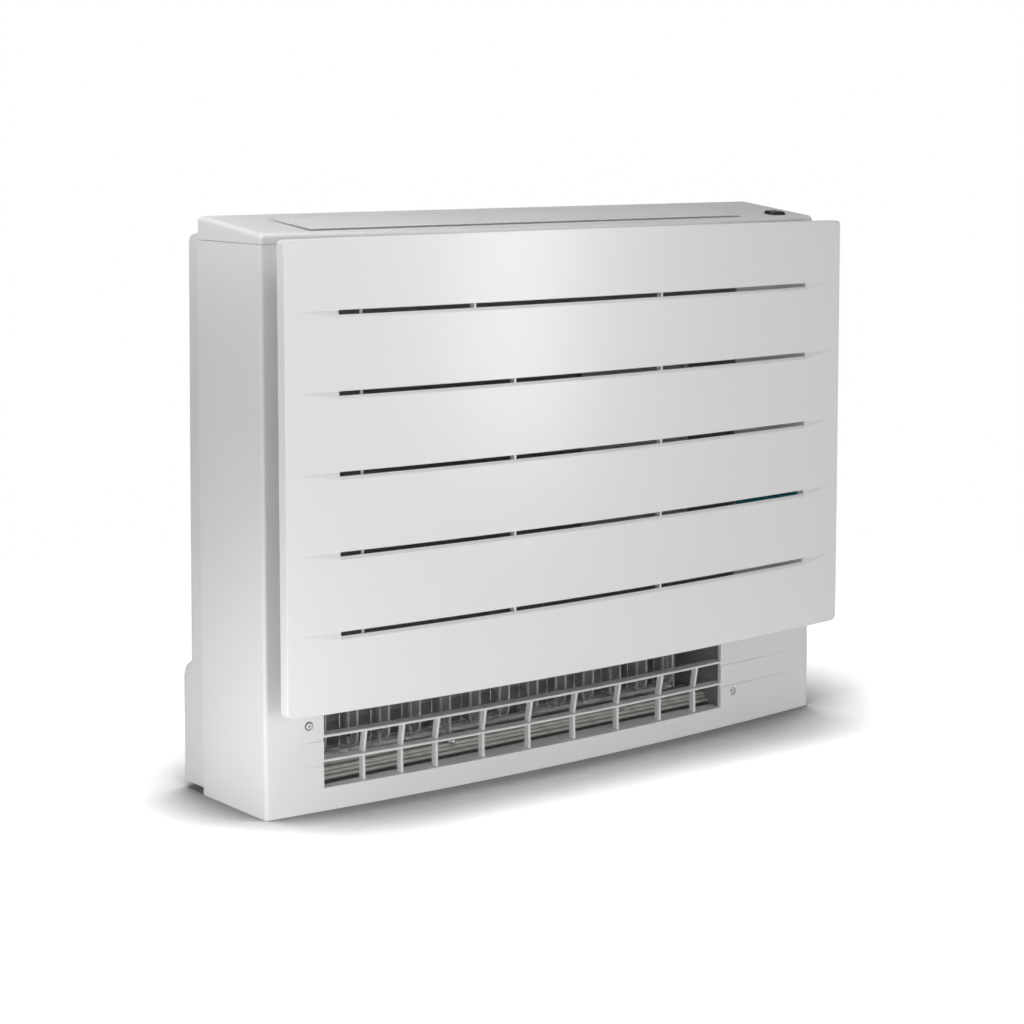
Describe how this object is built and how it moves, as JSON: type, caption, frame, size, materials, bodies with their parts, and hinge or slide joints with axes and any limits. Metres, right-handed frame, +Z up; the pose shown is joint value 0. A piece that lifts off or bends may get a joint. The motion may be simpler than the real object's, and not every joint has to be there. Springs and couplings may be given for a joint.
{
  "type": "floor standing air conditioner",
  "caption": "Low floor standing air conditioner indoor unit with a slotted bowed front panel, a louvred lower outlet, a sloped lid with a top flap, and its fan, coil, ducts and controls inside.",
  "frame": {"origin": "centre of the footprint on the floor, under the middle of the overall box", "axes": "+Z up, the slotted front panel faces -Y, +X to the right of somebody facing the unit"},
  "size_m": [0.75, 0.226, 0.594],
  "materials": {
    "panel_white": "fine satin moulded plastic",
    "cover_white": "fine satin moulded plastic",
    "flap_grey": "satin grey moulded plastic",
    "rear_white": "plain moulded plastic",
    "display_black": "high gloss",
    "key_grey": "satin",
    "board_green": "circuit board lacquer",
    "filter_dark": "matt",
    "cassette_grey": "matt",
    "filter_teal": "matt pleated medium",
    "stopper_white": "satin",
    "steel_pin": "zinc plated",
    "fin_aluminium": "bare fins",
    "galvanised": "galvanised sheet",
    "copper": "drawn copper",
    "brass_nut": "turned brass",
    "pan_grey": "plain moulded plastic",
    "fan_plastic": "glass filled plastic",
    "motor_shell": "pressed steel can",
    "terminal_cream": "matt",
    "duct_dark": "plain moulded plastic",
    "flap_ridged": "satin",
    "clear_plastic": "clear glossy"
  },
  "bodies": {
    "cabinet": {"front_casing": "cover_white", "top_cap": "cover_white", "rear_frame": "rear_white", "display_window": "display_black", "display_board": "board_green", "control_board": "board_green", "air_filter_left": "filter_dark", "air_filter_right": "filter_dark", "purifying_cassette": "cassette_grey", "deodorising_filter": "filter_teal", "panel_hinge_pins": "steel_pin", "casing_screws": "steel_pin", "mounting_screws": "steel_pin", "heat_exchanger_fins": "fin_aluminium", "coil_end_plate_left": "galvanised", "coil_end_plate_right": "galvanised", "motor_bracket": "galvanised", "electrical_box": "galvanised", "electrical_cover": "galvanised", "mounting_plate": "galvanised", "coil_return_bends": "copper", "gas_pipe": "copper", "liquid_pipe": "copper", "flare_nuts": "brass_nut", "drain_pan": "pan_grey", "drain_socket": "pan_grey", "bell_mouth": "pan_grey", "scroll_guides": "pan_grey", "fan_motor": "motor_shell", "swing_motors": "motor_shell", "terminal_block": "terminal_cream", "outlet_duct": "duct_dark", "vane_carrier": "clear_plastic"},
    "panel": {"front_panel": "panel_white", "panel_hooks": "panel_white"},
    "upper_flap": {"upper_flap": "flap_grey"},
    "lower_flap": {"lower_flap": "flap_ridged"},
    "damper": {"damper": "flap_ridged"},
    "fan": {"fan_impeller": "fan_plastic", "fan_shaft": "steel_pin", "fan_nut": "steel_pin"},
    "stopper_left": {"panel_stopper_left": "stopper_white"},
    "stopper_right": {"panel_stopper_right": "stopper_white"},
    "power_button": {"power_button": "key_grey"},
    "outlet_selector": {"outlet_selector": "stopper_white"},
    "link_bar_left": {"link_bar_left": "clear_plastic"},
    "link_bar_right": {"link_bar_right": "clear_plastic"},
    "vane_01": {"vane_01": "clear_plastic"},
    "vane_02": {"vane_02": "clear_plastic"},
    "vane_03": {"vane_03": "clear_plastic"},
    "vane_04": {"vane_04": "clear_plastic"},
    "vane_05": {"vane_05": "clear_plastic"},
    "vane_06": {"vane_06": "clear_plastic"},
    "vane_07": {"vane_07": "clear_plastic"},
    "vane_08": {"vane_08": "clear_plastic"},
    "vane_09": {"vane_09": "clear_plastic"},
    "vane_10": {"vane_10": "clear_plastic"},
    "vane_11": {"vane_11": "clear_plastic"},
    "vane_12": {"vane_12": "clear_plastic"},
    "vane_13": {"vane_13": "clear_plastic"}
  },
  "joints": [
    {"name": "panel_hinge", "type": "hinge", "parent": "cabinet", "child": "panel", "pos_m": [0, -0.079, 0.121], "axis": [1, 0, 0], "range_deg": [0, 30]},
    {"name": "upper_flap_hinge", "type": "hinge", "parent": "cabinet", "child": "upper_flap", "pos_m": [0, 0.02958, 0.58473], "axis": [-1, 0, 0], "range_deg": [0, 75]},
    {"name": "lower_flap_hinge", "type": "hinge", "parent": "cabinet", "child": "lower_flap", "pos_m": [0, -0.028, 0.0335], "axis": [1, 0, 0], "range_deg": [-20, 12]},
    {"name": "damper_hinge", "type": "hinge", "parent": "cabinet", "child": "damper", "pos_m": [0, 0.004, 0.0355], "axis": [1, 0, 0], "range_deg": [0, 60]},
    {"name": "fan_spin", "type": "hinge", "parent": "cabinet", "child": "fan", "pos_m": [-0.04, 0.03, 0.335], "axis": [0, 1, 0], "continuous": true},
    {"name": "vane_01_pivot", "type": "hinge", "parent": "cabinet", "child": "vane_01", "pos_m": [-0.298, -0.024, 0.078], "axis": [0, 0, 1], "range_deg": [-26, 26]},
    {"name": "vane_02_pivot", "type": "hinge", "parent": "cabinet", "child": "vane_02", "pos_m": [-0.2592, -0.024, 0.078], "axis": [0, 0, 1], "range_deg": [-26, 26]},
    {"name": "vane_03_pivot", "type": "hinge", "parent": "cabinet", "child": "vane_03", "pos_m": [-0.2204, -0.024, 0.078], "axis": [0, 0, 1], "range_deg": [-26, 26]},
    {"name": "vane_04_pivot", "type": "hinge", "parent": "cabinet", "child": "vane_04", "pos_m": [-0.1816, -0.024, 0.078], "axis": [0, 0, 1], "range_deg": [-26, 26]},
    {"name": "vane_05_pivot", "type": "hinge", "parent": "cabinet", "child": "vane_05", "pos_m": [-0.1428, -0.024, 0.078], "axis": [0, 0, 1], "range_deg": [-25, 25]},
    {"name": "vane_06_pivot", "type": "hinge", "parent": "cabinet", "child": "vane_06", "pos_m": [-0.104, -0.024, 0.078], "axis": [0, 0, 1], "range_deg": [-26, 26]},
    {"name": "vane_07_pivot", "type": "hinge", "parent": "cabinet", "child": "vane_07", "pos_m": [-0.0652, -0.024, 0.078], "axis": [0, 0, 1], "range_deg": [-26, 26]},
    {"name": "vane_08_pivot", "type": "hinge", "parent": "cabinet", "child": "vane_08", "pos_m": [-0.0264, -0.024, 0.078], "axis": [0, 0, 1], "range_deg": [-26, 26]},
    {"name": "vane_09_pivot", "type": "hinge", "parent": "cabinet", "child": "vane_09", "pos_m": [0.0124, -0.024, 0.078], "axis": [0, 0, 1], "range_deg": [-26, 26]},
    {"name": "vane_10_pivot", "type": "hinge", "parent": "cabinet", "child": "vane_10", "pos_m": [0.0512, -0.024, 0.078], "axis": [0, 0, 1], "range_deg": [-26, 26]},
    {"name": "vane_11_pivot", "type": "hinge", "parent": "cabinet", "child": "vane_11", "pos_m": [0.09, -0.024, 0.078], "axis": [0, 0, 1], "range_deg": [-25, 25]},
    {"name": "vane_12_pivot", "type": "hinge", "parent": "cabinet", "child": "vane_12", "pos_m": [0.1288, -0.024, 0.078], "axis": [0, 0, 1], "range_deg": [-26, 26]},
    {"name": "vane_13_pivot", "type": "hinge", "parent": "cabinet", "child": "vane_13", "pos_m": [0.1676, -0.024, 0.078], "axis": [0, 0, 1], "range_deg": [-26, 26]},
    {"name": "link_bar_left_slide", "type": "slide", "parent": "cabinet", "child": "link_bar_left", "axis": [1, 0, 0], "range_m": [-0.0064, 0.0064]},
    {"name": "link_bar_right_slide", "type": "slide", "parent": "cabinet", "child": "link_bar_right", "axis": [1, 0, 0], "range_m": [-0.0064, 0.0064]},
    {"name": "stopper_left_slide", "type": "slide", "parent": "cabinet", "child": "stopper_left", "axis": [-1, 0, 0], "range_m": [0, 0.006]},
    {"name": "stopper_right_slide", "type": "slide", "parent": "cabinet", "child": "stopper_right", "axis": [1, 0, 0], "range_m": [0, 0.006]},
    {"name": "power_button_press", "type": "slide", "parent": "cabinet", "child": "power_button", "axis": [0, 0.1133, -0.9936], "range_m": [0, 0.0008], "stiffness_N_per_m": 400},
    {"name": "outlet_selector_slide", "type": "slide", "parent": "cabinet", "child": "outlet_selector", "axis": [1, 0, 0], "range_m": [0, 0.004]}
  ],
  "couplings": [
    {"joint": "vane_01_pivot", "follows": "vane_05_pivot", "ratio": 1},
    {"joint": "vane_02_pivot", "follows": "vane_05_pivot", "ratio": 1},
    {"joint": "vane_03_pivot", "follows": "vane_05_pivot", "ratio": 1},
    {"joint": "vane_04_pivot", "follows": "vane_05_pivot", "ratio": 1},
    {"joint": "vane_06_pivot", "follows": "vane_05_pivot", "ratio": 1},
    {"joint": "vane_07_pivot", "follows": "vane_05_pivot", "ratio": 1},
    {"joint": "vane_08_pivot", "follows": "vane_11_pivot", "ratio": 1},
    {"joint": "vane_09_pivot", "follows": "vane_11_pivot", "ratio": 1},
    {"joint": "vane_10_pivot", "follows": "vane_11_pivot", "ratio": 1},
    {"joint": "vane_12_pivot", "follows": "vane_11_pivot", "ratio": 1},
    {"joint": "vane_13_pivot", "follows": "vane_11_pivot", "ratio": 1},
    {"joint": "link_bar_left_slide", "follows": "vane_05_pivot", "m_per_rad": -0.014},
    {"joint": "link_bar_right_slide", "follows": "vane_11_pivot", "m_per_rad": -0.014}
  ]
}
